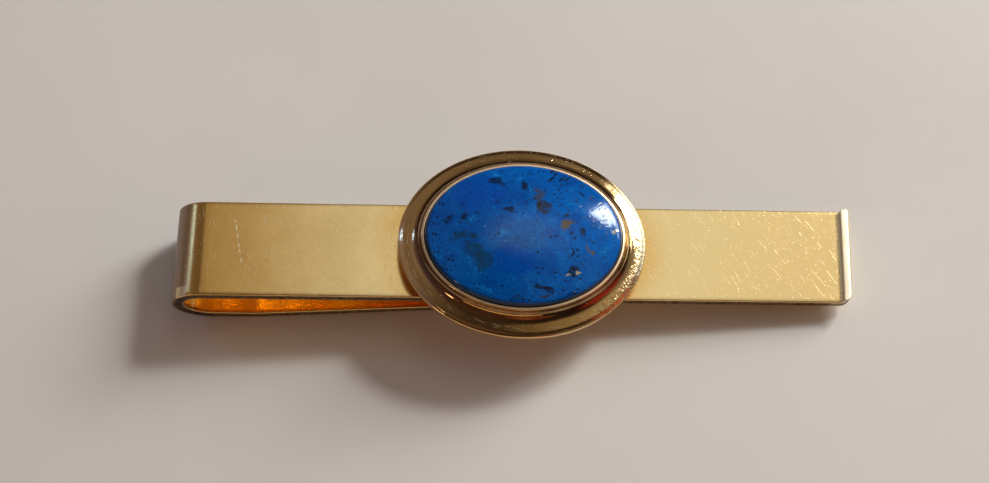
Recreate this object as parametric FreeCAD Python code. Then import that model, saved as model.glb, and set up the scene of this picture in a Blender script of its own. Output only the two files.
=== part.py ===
import FreeCAD, Part
import math
import os

# A folding tie bar: a gold strip bent back under itself into a spring leg, with an oval
# stone in a coved frame standing on its front.
#
# Frame: millimetres, +X along the bar towards its open end, +Y across the bar, +Z out of
# the front face. The origin is the middle of the setting's width and the bar's length, on
# the level of the fold's underside.

# --- The folded strip -------------------------------------------------------------
BAR_LENGTH = 55.0
STRIP_WIDTH = 8.0
STRIP_THICKNESS = 1.0
FOLD_TOP_RADIUS = 2.4        # outer radius of the upper half of the fold
FOLD_LOW_RADIUS = 3.05       # outer radius of the lower half of the fold
BAR_CENTRE_Y = -0.2          # the bar lies a little off the setting's middle line

LIP_THICKNESS = 0.78
LIP_RISE = 0.50              # the upturned lip above the front face
LIP_FOOT_RADIUS = 0.25
LIP_INNER_RADIUS = 0.20
LIP_OUTER_RADIUS = 0.34
LIP_BEND_RADIUS = 0.80       # outside corner under the lip
LIP_NEAR_RADIUS = 0.90       # the bar's free corners, seen from the front
LIP_FAR_RADIUS = 0.35

ELBOW_X = -21.0              # where the level leg turns up towards the bar
ELBOW_RADIUS = 4.0
HUMP_X = 1.2                 # where the leg presses on the tie
HUMP_GAP = 0.16              # air under the bar at the hump with nothing clipped in
HUMP_RADIUS = 2.0
TIP_X = 5.3
TIP_FLARE_DEG = 19.0
TIP_CORNER_RADIUS = 1.8

# --- The setting ------------------------------------------------------------------
SETTING_X = 0.37
FRAME_HALF_LENGTH = 10.0
FRAME_HALF_WIDTH = 8.1
PAD_HALF_LENGTH = 6.2
PAD_HALF_WIDTH = 3.4
PAD_HEIGHT = 1.25
SEAM_SIZE = 0.3
PLATE_THICKNESS = 0.4
PLATE_INSET = 1.45           # from the frame's outer edge to the plate's edge
FLANGE_EDGE = 0.53           # thickness of the flange at its edge
FLANGE_EDGE_RADIUS = 0.12
FLANGE_WIDTH = 0.70          # width of the flange before the cove
FLANGE_RISE = 0.16           # how far the flange climbs from its edge to the cove
RIM_INSET = 1.81             # from the frame's outer edge to the rim's outer edge
RIM_HEIGHT = 3.10            # rim above the bar's front face
RIM_LAND = 0.08
RIM_FOOT = 0.16              # how far the cove's wall leans at its top
BEZEL_WALL = 0.16
BEZEL_PROUD = 0.05
FIT = 0.02                   # clearance between fitted oval pieces
BED_THICKNESS = 0.3
STONE_EDGE_HEIGHT = 3.15     # where the stone's straight side ends, above the front face
STONE_SHOULDER_RADIUS = 0.55
STONE_TOP = 4.55

# --- Worked out from the above ----------------------------------------------------
V = FreeCAD.Vector
FRONT_Z = FOLD_TOP_RADIUS + FOLD_LOW_RADIUS
BACK_Z = FRONT_Z - STRIP_THICKNESS
SPLIT_Z = FOLD_LOW_RADIUS
END_X = BAR_LENGTH / 2
PAD_TOP_Z = FRONT_Z + PAD_HEIGHT
PLATE_TOP_Z = PAD_TOP_Z + PLATE_THICKNESS
BED_TOP_Z = PLATE_TOP_Z + BED_THICKNESS
RIM_Z = FRONT_Z + RIM_HEIGHT
BEZEL_INSET = RIM_INSET + RIM_LAND + FIT
STONE_INSET = BEZEL_INSET + BEZEL_WALL + FIT


def corner_arc(before, corner, after, radius):
    """Start, middle and end of the arc that rounds one corner of an outline."""
    to_before = before.sub(corner).normalize()
    to_after = after.sub(corner).normalize()
    half = to_before.getAngle(to_after) / 2
    reach = radius / math.tan(half)
    start = corner + to_before * reach
    end = corner + to_after * reach
    bisector = (to_before + to_after).normalize()
    middle = corner + bisector * (radius / math.sin(half) - radius)
    return start, middle, end


def rounded_outline(corners):
    """A closed wire in the XZ plane through (x, z, radius) corners."""
    points = [V(x, 0, z) for x, z, radius in corners]
    stops = []
    for i, (x, z, radius) in enumerate(corners):
        if radius > 0:
            following = points[(i + 1) % len(points)]
            stops.append(corner_arc(points[i - 1], points[i], following, radius))
        else:
            stops.append((points[i],))
    edges = []
    for i, stop in enumerate(stops):
        if len(stop) == 3:
            edges.append(Part.Arc(*stop).toShape())
        next_start = stops[(i + 1) % len(stops)][0]
        if stop[-1].distanceToPoint(next_start) > 1e-6:
            edges.append(Part.LineSegment(stop[-1], next_start).toShape())
    return Part.Wire(Part.__sortEdges__(edges))


def offset_path(points, distance):
    """The corners of a path moved sideways, to the left of its direction in XZ."""
    moved = []
    for i, point in enumerate(points):
        ahead = points[min(i + 1, len(points) - 1)].sub(points[min(i, len(points) - 2)]).normalize()
        behind = points[max(i, 1)].sub(points[max(i - 1, 0)]).normalize()
        side_a = V(-behind.z, 0, behind.x)
        side_b = V(-ahead.z, 0, ahead.x)
        middle = (side_a + side_b).normalize()
        moved.append(point + middle * (distance / middle.dot(side_a)))
    return moved


def across_the_bar(wire):
    """The strip's solid: a side outline given the strip's width."""
    solid = Part.Face(wire).extrude(V(0, STRIP_WIDTH, 0))
    solid.translate(V(0, BAR_CENTRE_Y - STRIP_WIDTH / 2, 0))
    return solid


def end_corner_edges(solid, low_x, low_z):
    """The short edges at a strip's free end that run through its thickness."""
    found = []
    for edge in solid.Edges:
        box = edge.BoundBox
        if box.YLength < 1e-6 and box.XMin > low_x and box.ZLength > low_z:
            found.append(edge)
    return found


def front_bar():
    outline = rounded_outline([
        (-END_X, SPLIT_Z, 0),
        (-END_X, FRONT_Z, FOLD_TOP_RADIUS),
        (END_X - LIP_THICKNESS, FRONT_Z, LIP_FOOT_RADIUS),
        (END_X - LIP_THICKNESS, FRONT_Z + LIP_RISE, LIP_INNER_RADIUS),
        (END_X, FRONT_Z + LIP_RISE, LIP_OUTER_RADIUS),
        (END_X, BACK_Z, LIP_BEND_RADIUS),
        (STRIP_THICKNESS - END_X, BACK_Z, FOLD_TOP_RADIUS - STRIP_THICKNESS),
        (STRIP_THICKNESS - END_X, SPLIT_Z, 0)])
    bar = across_the_bar(outline)
    corner_posts = []
    for side, radius in ((-1, LIP_NEAR_RADIUS), (1, LIP_FAR_RADIUS)):
        edge_y = BAR_CENTRE_Y + side * STRIP_WIDTH / 2
        centre = V(END_X - radius, edge_y - side * radius, 0)
        low_y = min(edge_y, centre.y)
        block = Part.makeBox(radius, radius, RIM_Z, V(centre.x, low_y, 0))
        post = Part.makeCylinder(radius, RIM_Z, centre)
        corner_posts.append(block.cut(post))
    return bar.cut(corner_posts[0]).cut(corner_posts[1])


def spring_leg():
    flare = math.radians(TIP_FLARE_DEG)
    inner_hump_z = BACK_Z - HUMP_GAP
    upper = [V(STRIP_THICKNESS - END_X, 0, SPLIT_Z),
             V(STRIP_THICKNESS - END_X, 0, STRIP_THICKNESS),
             V(ELBOW_X, 0, STRIP_THICKNESS),
             V(HUMP_X, 0, inner_hump_z + hump_crown()),
             V(TIP_X, 0, inner_hump_z + hump_crown() - (TIP_X - HUMP_X) * math.tan(flare))]
    lower = offset_path(upper, -STRIP_THICKNESS)
    upper_radii = [0, FOLD_LOW_RADIUS - STRIP_THICKNESS, ELBOW_RADIUS, HUMP_RADIUS + STRIP_THICKNESS, 0.3]
    lower_radii = [0, FOLD_LOW_RADIUS, ELBOW_RADIUS + STRIP_THICKNESS, HUMP_RADIUS, 0.3]
    corners = [(p.x, p.z, r) for p, r in zip(upper, upper_radii)]
    corners += [(p.x, p.z, r) for p, r in zip(reversed(lower), reversed(lower_radii))]
    leg = across_the_bar(rounded_outline(corners))
    return rounded_tip(leg, lower[-1].x, upper[-1].x)


def hump_crown():
    """How far the sharp corner of the hump would stand above its rounded top."""
    rise = BACK_Z - HUMP_GAP - STRIP_THICKNESS
    climb = math.atan2(rise, HUMP_X - ELBOW_X)
    turn = climb + math.radians(TIP_FLARE_DEG)
    lean = (math.radians(TIP_FLARE_DEG) - climb) / 2
    radius = HUMP_RADIUS + STRIP_THICKNESS
    centre_drop = radius / math.cos(turn / 2)
    return centre_drop * math.cos(lean) - radius


def rounded_tip(leg, first_x, last_x):
    """The leg with its two free corners rounded, seen from the front."""
    for side in (-1, 1):
        edge_y = BAR_CENTRE_Y + side * STRIP_WIDTH / 2
        end_x = max(first_x, last_x)
        centre = V(end_x - TIP_CORNER_RADIUS, edge_y - side * TIP_CORNER_RADIUS, 0)
        low_y = min(edge_y, centre.y)
        block = Part.makeBox(TIP_CORNER_RADIUS + 1, TIP_CORNER_RADIUS, FRONT_Z, V(centre.x, low_y, 0))
        post = Part.makeCylinder(TIP_CORNER_RADIUS, FRONT_Z, centre)
        leg = leg.cut(block.cut(post))
    return leg


def oval(inset, z):
    """The frame's outer oval, drawn in by an inset, at height z."""
    ellipse = Part.Ellipse(V(SETTING_X, 0, z), FRAME_HALF_LENGTH - inset, FRAME_HALF_WIDTH - inset)
    return Part.Wire(ellipse.toShape())


def oval_block(inset, low_z, high_z):
    return Part.Face(oval(inset, low_z)).extrude(V(0, 0, high_z - low_z))


def pad_block(grow, low_z, high_z):
    ellipse = Part.Ellipse(V(SETTING_X, 0, low_z), PAD_HALF_LENGTH + grow, PAD_HALF_WIDTH + grow)
    return Part.Face(Part.Wire(ellipse.toShape())).extrude(V(0, 0, high_z - low_z))


def mounting_pad():
    return pad_block(0, FRONT_Z, PAD_TOP_Z)


def pad_solder_seam():
    foot = Part.Ellipse(V(SETTING_X, 0, FRONT_Z), PAD_HALF_LENGTH + SEAM_SIZE, PAD_HALF_WIDTH + SEAM_SIZE)
    head = Part.Ellipse(V(SETTING_X, 0, FRONT_Z + SEAM_SIZE), PAD_HALF_LENGTH + FIT, PAD_HALF_WIDTH + FIT)
    wires = [Part.Wire(foot.toShape()), Part.Wire(head.toShape())]
    return Part.makeLoft(wires, True, True).cut(mounting_pad())


def back_plate():
    return oval_block(PLATE_INSET, PAD_TOP_Z, PLATE_TOP_Z)


def coved_frame():
    """The flange, cove and rim, swept round the oval, with its bore and plate seat cut."""
    edge_x = SETTING_X + FRAME_HALF_LENGTH
    flange_z = PAD_TOP_Z + FLANGE_EDGE
    rim_x = edge_x - RIM_INSET
    cove_start = V(edge_x - FLANGE_WIDTH, 0, flange_z + FLANGE_RISE)
    cove_end = V(rim_x + RIM_FOOT / 2, 0, RIM_Z - FLANGE_EDGE_RADIUS)
    span_x = cove_start.x - cove_end.x
    span_z = cove_end.z - cove_start.z
    cove_middle = V(cove_start.x - span_x * math.sin(math.pi / 4), 0,
                    cove_start.z + span_z * (1 - math.cos(math.pi / 4)))
    bore_x = edge_x - BEZEL_INSET - 0.5
    r = FLANGE_EDGE_RADIUS
    path = [V(bore_x, 0, PAD_TOP_Z), V(edge_x, 0, PAD_TOP_Z), V(edge_x, 0, flange_z - r)]
    rounding = Part.Arc(path[2], V(edge_x - r * 0.29, 0, flange_z - r * 0.29), V(edge_x - r, 0, flange_z))
    edges = [Part.LineSegment(path[0], path[1]), Part.LineSegment(path[1], path[2]), rounding,
             Part.LineSegment(V(edge_x - r, 0, flange_z), cove_start),
             Part.Arc(cove_start, cove_middle, cove_end),
             Part.LineSegment(cove_end, V(rim_x, 0, RIM_Z)),
             Part.LineSegment(V(rim_x, 0, RIM_Z), V(bore_x, 0, RIM_Z)),
             Part.LineSegment(V(bore_x, 0, RIM_Z), path[0])]
    section = Part.Wire([edge.toShape() for edge in edges])
    ring = oval(0, PAD_TOP_Z).makePipeShell([section], True, False)
    ring = ring.cut(oval_block(BEZEL_INSET - FIT, PAD_TOP_Z - 1, RIM_Z + 1))
    return ring.cut(oval_block(PLATE_INSET - FIT, PAD_TOP_Z - 1, PLATE_TOP_Z))


def bezel_band():
    outside = oval_block(BEZEL_INSET, PLATE_TOP_Z, RIM_Z + BEZEL_PROUD)
    return outside.cut(oval_block(BEZEL_INSET + BEZEL_WALL, PLATE_TOP_Z, RIM_Z + BEZEL_PROUD))


def stone_bed():
    return oval_block(STONE_INSET + FIT, PLATE_TOP_Z, BED_TOP_Z)


def lapis_cabochon():
    """A low dome turned about Z and drawn in along Y to an oval."""
    half_length = FRAME_HALF_LENGTH - STONE_INSET
    half_width = FRAME_HALF_WIDTH - STONE_INSET
    edge_z = FRONT_Z + STONE_EDGE_HEIGHT
    shoulder = STONE_SHOULDER_RADIUS
    shoulder_end = V(half_length - shoulder, 0, edge_z + shoulder)
    shoulder_middle = V(half_length - shoulder * 0.25, 0, edge_z + shoulder * 0.72)
    crown = V(0, 0, FRONT_Z + STONE_TOP)
    dome_rise = crown.z - shoulder_end.z
    dome_radius = (shoulder_end.x ** 2 + dome_rise ** 2) / (2 * dome_rise)
    half_x = shoulder_end.x / 2
    dome_middle = V(half_x, 0, crown.z - dome_radius + math.sqrt(dome_radius ** 2 - half_x ** 2))
    edges = [Part.LineSegment(V(0, 0, BED_TOP_Z), V(half_length, 0, BED_TOP_Z)),
             Part.LineSegment(V(half_length, 0, BED_TOP_Z), V(half_length, 0, edge_z)),
             Part.Arc(V(half_length, 0, edge_z), shoulder_middle, shoulder_end),
             Part.Arc(shoulder_end, dome_middle, crown),
             Part.LineSegment(crown, V(0, 0, BED_TOP_Z))]
    half_section = Part.Face(Part.Wire([edge.toShape() for edge in edges]))
    turned = half_section.revolve(V(0, 0, 0), V(0, 0, 1), 360)
    squeeze = FreeCAD.Matrix()
    squeeze.scale(1, half_width / half_length, 1)
    stone = turned.transformGeometry(squeeze)
    stone.translate(V(SETTING_X, 0, 0))
    return stone


PIECES = {
    "front_bar": front_bar,
    "spring_leg": spring_leg,
    "mounting_pad": mounting_pad,
    "pad_solder_seam": pad_solder_seam,
    "back_plate": back_plate,
    "coved_frame": coved_frame,
    "bezel_band": bezel_band,
    "stone_bed": stone_bed,
    "lapis_cabochon": lapis_cabochon,
}

os.makedirs("parts", exist_ok=True)
for name, make in PIECES.items():
    piece = make().Solids[0]
    print(name, "valid", piece.isValid(), "volume %.2f mm3" % piece.Volume)
    piece.exportStep("parts/" + name + ".step")
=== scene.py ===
# %% [markdown]
# # A folding tie bar with an oval lapis setting
#
# The object is one flat strip of gold, folded back under itself so that its back leg is a
# spring, with an oval stone in a coved frame soldered on its front. The lesson goes in the
# order a jeweller would look at it: the strip, its satin finish, the polished frame, the
# stone, and then the lights, because polished metal shows little else than its lights.
#
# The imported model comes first. It is the frame: every size and place below is read from it.

# %% Load the frame
import math
import bmesh
import bpy
from mathutils import Matrix, Vector


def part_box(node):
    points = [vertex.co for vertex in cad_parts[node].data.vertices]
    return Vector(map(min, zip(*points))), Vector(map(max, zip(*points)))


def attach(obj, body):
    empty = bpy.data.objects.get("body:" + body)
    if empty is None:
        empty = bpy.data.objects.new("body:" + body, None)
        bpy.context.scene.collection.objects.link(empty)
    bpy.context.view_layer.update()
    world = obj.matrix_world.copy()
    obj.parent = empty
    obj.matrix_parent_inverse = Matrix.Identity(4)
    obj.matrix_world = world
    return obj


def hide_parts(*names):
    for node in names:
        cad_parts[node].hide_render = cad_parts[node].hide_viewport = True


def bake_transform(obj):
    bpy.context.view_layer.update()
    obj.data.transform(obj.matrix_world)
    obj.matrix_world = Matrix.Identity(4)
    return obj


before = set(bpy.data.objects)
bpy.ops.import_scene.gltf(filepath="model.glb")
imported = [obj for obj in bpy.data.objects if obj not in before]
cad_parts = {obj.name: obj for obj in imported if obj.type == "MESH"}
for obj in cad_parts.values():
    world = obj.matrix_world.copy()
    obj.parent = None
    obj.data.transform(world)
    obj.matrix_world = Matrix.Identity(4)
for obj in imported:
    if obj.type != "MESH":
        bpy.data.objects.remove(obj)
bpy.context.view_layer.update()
MM = 0.001

# %% Read the sizes that everything else hangs on
bar_low, bar_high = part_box("front_bar")
leg_low, leg_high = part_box("spring_leg")
frame_low, frame_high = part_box("coved_frame")
bezel_low, bezel_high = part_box("bezel_band")
stone_low, stone_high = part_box("lapis_cabochon")
FACE_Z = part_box("mounting_pad")[0].z
SPLIT_Z = bar_low.z
LEFT_X, RIGHT_X = bar_low.x, bar_high.x
BAR_Y = (bar_low.y + bar_high.y) / 2
STRIP_WIDTH = bar_high.y - bar_low.y
STRIP_THICKNESS = 1.0 * MM
BACK_Z = FACE_Z - STRIP_THICKNESS
SETTING_X = (frame_low.x + frame_high.x) / 2
SETTING_Y = (frame_low.y + frame_high.y) / 2
print("front face at", round(FACE_Z / MM, 2), "mm, setting centre at x", round(SETTING_X / MM, 2), "mm")

# %% [markdown]
# ## Building meshes from lines
#
# Two kinds of shape make up the whole object. The strip is a band of constant width that
# follows a bent line, and the setting is a set of rings that follow an oval. Both could be
# modelled by hand with extrusions and bevels, but then the bends would only be roughly
# round. Points worked out from arcs keep the folds true and the reflections clean, which
# matters more on polished metal than on anything else.

# %% Points along a line with rounded corners
def round_path(corners, radii, run_steps, arc_steps):
    """(x, z) points through corners, each inner corner turned into an arc of its radius."""
    corners = [Vector(corner) for corner in corners]
    path = [corners[0].copy()]
    for i, radius in enumerate(radii):
        before, corner, after = corners[i:i + 3]
        back = (before - corner).normalized()
        ahead = (after - corner).normalized()
        half = back.angle(ahead) / 2
        start = corner + back * (radius / math.tan(half))
        centre = corner + (back + ahead).normalized() * (radius / math.sin(half))
        spoke = start - centre
        turn = math.pi - 2 * half
        if back.x * ahead.y - back.y * ahead.x > 0:
            turn = -turn
        last = path[-1].copy()
        for step in range(1, run_steps[i] + 1):
            path.append(last.lerp(start, step / run_steps[i]))
        for step in range(1, arc_steps[i] + 1):
            angle = turn * step / arc_steps[i]
            turned = Vector((spoke.x * math.cos(angle) - spoke.y * math.sin(angle),
                             spoke.x * math.sin(angle) + spoke.y * math.cos(angle)))
            path.append(centre + turned)
    last = path[-1].copy()
    for step in range(1, run_steps[-1] + 1):
        path.append(last.lerp(corners[-1], step / run_steps[-1]))
    return path


# %% Turn points and faces into a piece of the object
SAME_POINT = 0.0005 * MM
NO_LENGTH = 0.0002 * MM
SHARP_TURN = math.radians(60)


def make_piece(name, points, faces):
    """A mesh object with these points and faces, not finished yet."""
    mesh = bpy.data.meshes.new(name)
    mesh.from_pydata(points, [], faces)
    piece = bpy.data.objects.new(name, mesh)
    bpy.context.scene.collection.objects.link(piece)
    return piece


def finish_mesh(piece):
    """Merges the points that meet at a closed end, turns every face outwards and smooths it."""
    work = bmesh.new()
    work.from_mesh(piece.data)
    bmesh.ops.remove_doubles(work, verts=work.verts, dist=SAME_POINT)
    bmesh.ops.dissolve_degenerate(work, edges=work.edges, dist=NO_LENGTH)
    bmesh.ops.recalc_face_normals(work, faces=work.faces)
    work.to_mesh(piece.data)
    work.free()
    piece.data.shade_smooth()
    piece.data.set_sharp_from_angle(angle=SHARP_TURN)
    print(piece.name, len(piece.data.vertices), "points", len(piece.data.polygons), "faces")


def store(piece, label, kind, values):
    """Keeps one value for each point, so that a material can read it by name."""
    kinds = {"FLOAT": "value", "FLOAT_VECTOR": "vector"}
    attribute = piece.data.attributes.new(label, kind, "POINT")
    flat = [part for value in values for part in value] if kind == "FLOAT_VECTOR" else values
    attribute.data.foreach_set(kinds[kind], flat)


# %% [markdown]
# ## The folded strip
#
# The real strip is rolled flat, cut, and bent round a former, so its thickness stays the
# same all the way round the fold. Its long edges were eased with a file, and that tiny
# round catches the light as a thin line. A section drawn once and carried along the bend
# gives all of that. Each ring of the mesh has a front, a back, and four eased corners. Both
# ends were bent by hand, so they are a little out of square.

# %% The strip's section
EDGE_ROUND = 0.08 * MM
ROUND_STEPS = 4
SIDE_STEPS = 4
FLAT_STEPS = 30
CORNER_LIMIT = 0.49


def strip_section(thickness, width):
    """(depth, across, side) round the strip's section, from front left, clockwise.
    Side is 1 on the cut sides. Where the strip runs thin, its corners get thinner too."""
    corner = min(EDGE_ROUND, thickness * CORNER_LIMIT)
    inner = width / 2 - EDGE_ROUND
    ring = [(0.0, inner * (2 * step / FLAT_STEPS - 1), 0.0) for step in range(FLAT_STEPS + 1)]
    for step in range(1, ROUND_STEPS + 1):
        angle = math.pi / 2 * step / ROUND_STEPS
        ring.append((corner * (1 - math.cos(angle)), inner + EDGE_ROUND * math.sin(angle), 0.0))
    for step in range(1, SIDE_STEPS):
        ring.append((corner + (thickness - 2 * corner) * step / SIDE_STEPS, width / 2, 1.0))
    for step in range(ROUND_STEPS):
        angle = math.pi / 2 * step / ROUND_STEPS
        depth = thickness - corner * (1 - math.sin(angle))
        ring.append((depth, inner + EDGE_ROUND * math.cos(angle), 0.0))
    front, rest = ring[:FLAT_STEPS + 1], ring[FLAT_STEPS + 1:]
    ring += [(thickness, -across, side) for depth, across, side in front]
    ring += [(thickness - depth, -across, side) for depth, across, side in rest]
    return ring


# %% Carry the section along the bend
FOLD_SKEW = 0.30 * MM
LIP_SKEW = 0.26 * MM
SKEW_LENGTH = 5.0 * MM


def ease(share):
    """A share from 0 to 1 that starts and stops softly."""
    share = min(max(share, 0.0), 1.0)
    return share * share * (3 - 2 * share)


def hand_skew(x, across):
    """How far a place moves because both ends were bent out of square by hand.
    The near edge of the fold and the far edge of the lip stand out."""
    near_edge = 0.5 - across / STRIP_WIDTH
    at_fold = ease((LEFT_X + SKEW_LENGTH - x) / SKEW_LENGTH)
    at_lip = ease((x - RIGHT_X + SKEW_LENGTH) / SKEW_LENGTH)
    return LIP_SKEW * (1 - near_edge) * at_lip - FOLD_SKEW * near_edge * at_fold


def bent_strip(name, front, back, corner_radii, end_x, along_start, along_sign):
    """A strip between two matched lines of (x, z) points. Its free end has rounded corners,
    with one radius on the near side and one on the far side."""
    points, sides, places = [], [], []
    along = along_start
    for i, (near, far) in enumerate(zip(front, back)):
        gap = far - near
        across_dir = gap.normalized() if gap.length > 1e-9 else Vector((0.0, 0.0))
        if i > 0:
            along += along_sign * (near - front[i - 1]).length
        for depth, across, side in strip_section(gap.length, STRIP_WIDTH):
            spot = near + across_dir * depth
            radius = corner_radii[0] if across < 0 else corner_radii[1]
            past = spot.x - (end_x - radius)
            narrow = 1.0
            if past > 0:
                drop = radius - math.sqrt(max(radius ** 2 - past ** 2, 0.0))
                narrow = 1 - drop / (STRIP_WIDTH / 2)
            points.append((spot.x + hand_skew(spot.x, across), BAR_Y + across * narrow, spot.y))
            sides.append(side)
            places.append((along / MM, across / MM, depth / MM))
    ring_size = len(points) // len(front)
    faces = []
    for i in range(len(front) - 1):
        for j in range(ring_size):
            k = (j + 1) % ring_size
            low, high = i * ring_size, (i + 1) * ring_size
            faces.append((low + j, low + k, high + k, high + j))
    last = (len(front) - 1) * ring_size
    faces.append(tuple(range(last, last + ring_size)))
    piece = make_piece(name, points, faces)
    store(piece, "side", "FLOAT", sides)
    store(piece, "strip_place", "FLOAT_VECTOR", places)
    finish_mesh(piece)
    return piece


# %% [markdown]
# ### Front bar and fold
#
# The first piece is the front bar with the whole fold. The fold is where the real strip
# flexes. It starts at the middle of the lip's top, where its front and back lines meet.

# %% Build the front bar and fold
LIP_THICKNESS = 0.78 * MM
LIP_FOOT_RADIUS = 0.08 * MM
LIP_INNER_RADIUS = 0.05 * MM
LIP_OUTER_RADIUS = 0.34 * MM
LIP_BEND_RADIUS = 0.80 * MM
LIP_CORNER_RADII = (0.90 * MM, 0.35 * MM)
FOLD_TOP_RADIUS = FACE_Z - SPLIT_Z
FOLD_LOW_RADIUS = SPLIT_Z - leg_low.z
SEAM_X = LEFT_X + FOLD_LOW_RADIUS
lip_middle = (RIGHT_X - LIP_THICKNESS / 2, bar_high.z)
lip_inner_x = RIGHT_X - LIP_THICKNESS
inner_left_x = LEFT_X + STRIP_THICKNESS
run_steps = [2, 4, 110, 0, 0]
arc_steps = [6, 6, 28, 28]
front_line = round_path(
    [lip_middle, (lip_inner_x, bar_high.z), (lip_inner_x, FACE_Z), (LEFT_X, FACE_Z),
     (LEFT_X, leg_low.z), (SEAM_X, leg_low.z)],
    [LIP_INNER_RADIUS, LIP_FOOT_RADIUS, FOLD_TOP_RADIUS, FOLD_LOW_RADIUS], run_steps, arc_steps)
back_line = round_path(
    [lip_middle, (RIGHT_X, bar_high.z), (RIGHT_X, BACK_Z), (inner_left_x, BACK_Z),
     (inner_left_x, STRIP_THICKNESS), (SEAM_X, STRIP_THICKNESS)],
    [LIP_OUTER_RADIUS, LIP_BEND_RADIUS, FOLD_TOP_RADIUS - STRIP_THICKNESS,
     FOLD_LOW_RADIUS - STRIP_THICKNESS], run_steps, arc_steps)
front_strip = bent_strip("front_strip", front_line, back_line, LIP_CORNER_RADII, RIGHT_X,
                         RIGHT_X, -1)
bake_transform(front_strip)
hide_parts("front_bar")

# %% [markdown]
# ### Back leg
#
# The leg carries on from the fold: level for a little, up at the elbow to the hump that
# presses on the tie, and down again to the flared tip, which lets the cloth slide in. It is
# rigid here, because a real one bends mostly at the fold.

# %% Build the back leg
ELBOW_X = -21.0 * MM
ELBOW_RADIUS = 4.0 * MM
HUMP_X = 1.2 * MM
HUMP_RADIUS = 2.0 * MM
TIP_X = 5.3 * MM
TIP_FLARE = math.radians(19.0)
TIP_CORNER_RADII = (1.8 * MM, 1.8 * MM)
TIP_ROUND = 0.3 * MM


def shift_line(corners, distance):
    """The corners of a line moved sideways, to the right of the way it runs."""
    corners = [Vector(corner) for corner in corners]
    moved = []
    for i, corner in enumerate(corners):
        ahead = (corners[min(i + 1, len(corners) - 1)] - corners[min(i, len(corners) - 2)]).normalized()
        behind = (corners[max(i, 1)] - corners[max(i - 1, 0)]).normalized()
        side_a = Vector((behind.y, -behind.x))
        side_b = Vector((ahead.y, -ahead.x))
        middle = (side_a + side_b).normalized()
        moved.append(corner + middle * (distance / middle.dot(side_a)))
    return moved


climb = math.atan2(leg_high.z - STRIP_THICKNESS, HUMP_X - ELBOW_X)
outer_hump = HUMP_RADIUS + STRIP_THICKNESS
crown = outer_hump * math.cos((TIP_FLARE - climb) / 2) / math.cos((TIP_FLARE + climb) / 2) - outer_hump
hump_z = leg_high.z + crown
tip_z = hump_z - (TIP_X - HUMP_X) * math.tan(TIP_FLARE)
upper = [Vector((SEAM_X, STRIP_THICKNESS)), Vector((ELBOW_X, STRIP_THICKNESS)),
         Vector((HUMP_X, hump_z)), Vector((TIP_X, tip_z))]
lower = shift_line(upper, STRIP_THICKNESS)
tip_middle = (upper[-1] + lower[-1]) / 2
leg_runs = [14, 60, 10, 3, 1]
leg_arcs = [8, 16, 6]
upper_line = round_path([*upper, tip_middle], [ELBOW_RADIUS, outer_hump, TIP_ROUND], leg_runs[:4], leg_arcs)
lower_line = round_path([*lower, tip_middle], [ELBOW_RADIUS + STRIP_THICKNESS, HUMP_RADIUS, TIP_ROUND],
                        leg_runs[:4], leg_arcs)
leg_strip = bent_strip("leg_strip", lower_line[::-1], upper_line[::-1], TIP_CORNER_RADII,
                       leg_high.x, TIP_X, -1)
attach(leg_strip, "back_leg")
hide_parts("spring_leg")

# %% [markdown]
# ## The setting
#
# The frame was struck in a die and then filed and buffed. From the outside in it has a
# thin edge, a filed bevel, a narrow flange that climbs a little, and a hollow cove that
# sweeps up to the rim. The cove gives the bands of light and dark, so it leaves the flange
# with no corner and keeps on turning. A bevel modifier could round the corners only, so the
# whole section is drawn as a line of points and carried round the oval.

# %% Rings that follow the oval
OVAL_STEPS = 320
COVE_FULLNESS = 0.50
frame_half_x = (frame_high.x - frame_low.x) / 2
frame_half_y = (frame_high.y - frame_low.y) / 2


def oval_ring(name, profile):
    """A ring with a closed profile of (inset, height) points, carried round the oval."""
    points, insets, faces = [], [], []
    for step in range(OVAL_STEPS):
        angle = 2 * math.pi * step / OVAL_STEPS
        outward = Vector((frame_half_y * math.cos(angle), frame_half_x * math.sin(angle))).normalized()
        for inset, height in profile:
            points.append((SETTING_X + frame_half_x * math.cos(angle) - outward.x * inset,
                           SETTING_Y + frame_half_y * math.sin(angle) - outward.y * inset, height))
            insets.append(inset / MM)
    count = len(profile)
    for step in range(OVAL_STEPS):
        for j in range(count):
            k = (j + 1) % count
            low, high = step * count, (step + 1) % OVAL_STEPS * count
            faces.append((low + j, low + k, high + k, high + j))
    ring = make_piece(name, points, faces)
    store(ring, "inset", "FLOAT", insets)
    finish_mesh(ring)
    return ring


def arc_between(start, end, steps, bulge):
    """Points after start up to end on a quarter round that leaves level if bulge is
    positive and upright if it's negative."""
    curve = []
    for step in range(1, steps + 1):
        angle = math.pi / 2 * step / steps
        if bulge > 0:
            share = (math.sin(angle), 1 - math.cos(angle))
        else:
            share = (1 - math.cos(angle), math.sin(angle))
        curve.append(tuple(a + (b - a) * part for a, b, part in zip(start, end, share)))
    return curve


def sweep_up(start, slope, end, steps):
    """Points after start up to end on a hollow curve that leaves at a slope and ends upright."""
    across, rise = end[0] - start[0], end[1] - start[1]
    leave = (start[0] + across * COVE_FULLNESS, start[1] + across * COVE_FULLNESS * slope)
    arrive = (end[0], end[1] - rise * COVE_FULLNESS)
    curve = []
    for step in range(1, steps + 1):
        t = step / steps
        shares = ((1 - t) ** 3, 3 * (1 - t) ** 2 * t, 3 * (1 - t) * t ** 2, t ** 3)
        knots = (start, leave, arrive, end)
        curve.append(tuple(sum(share * knot[axis] for share, knot in zip(shares, knots))
                           for axis in (0, 1)))
    return curve


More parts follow.
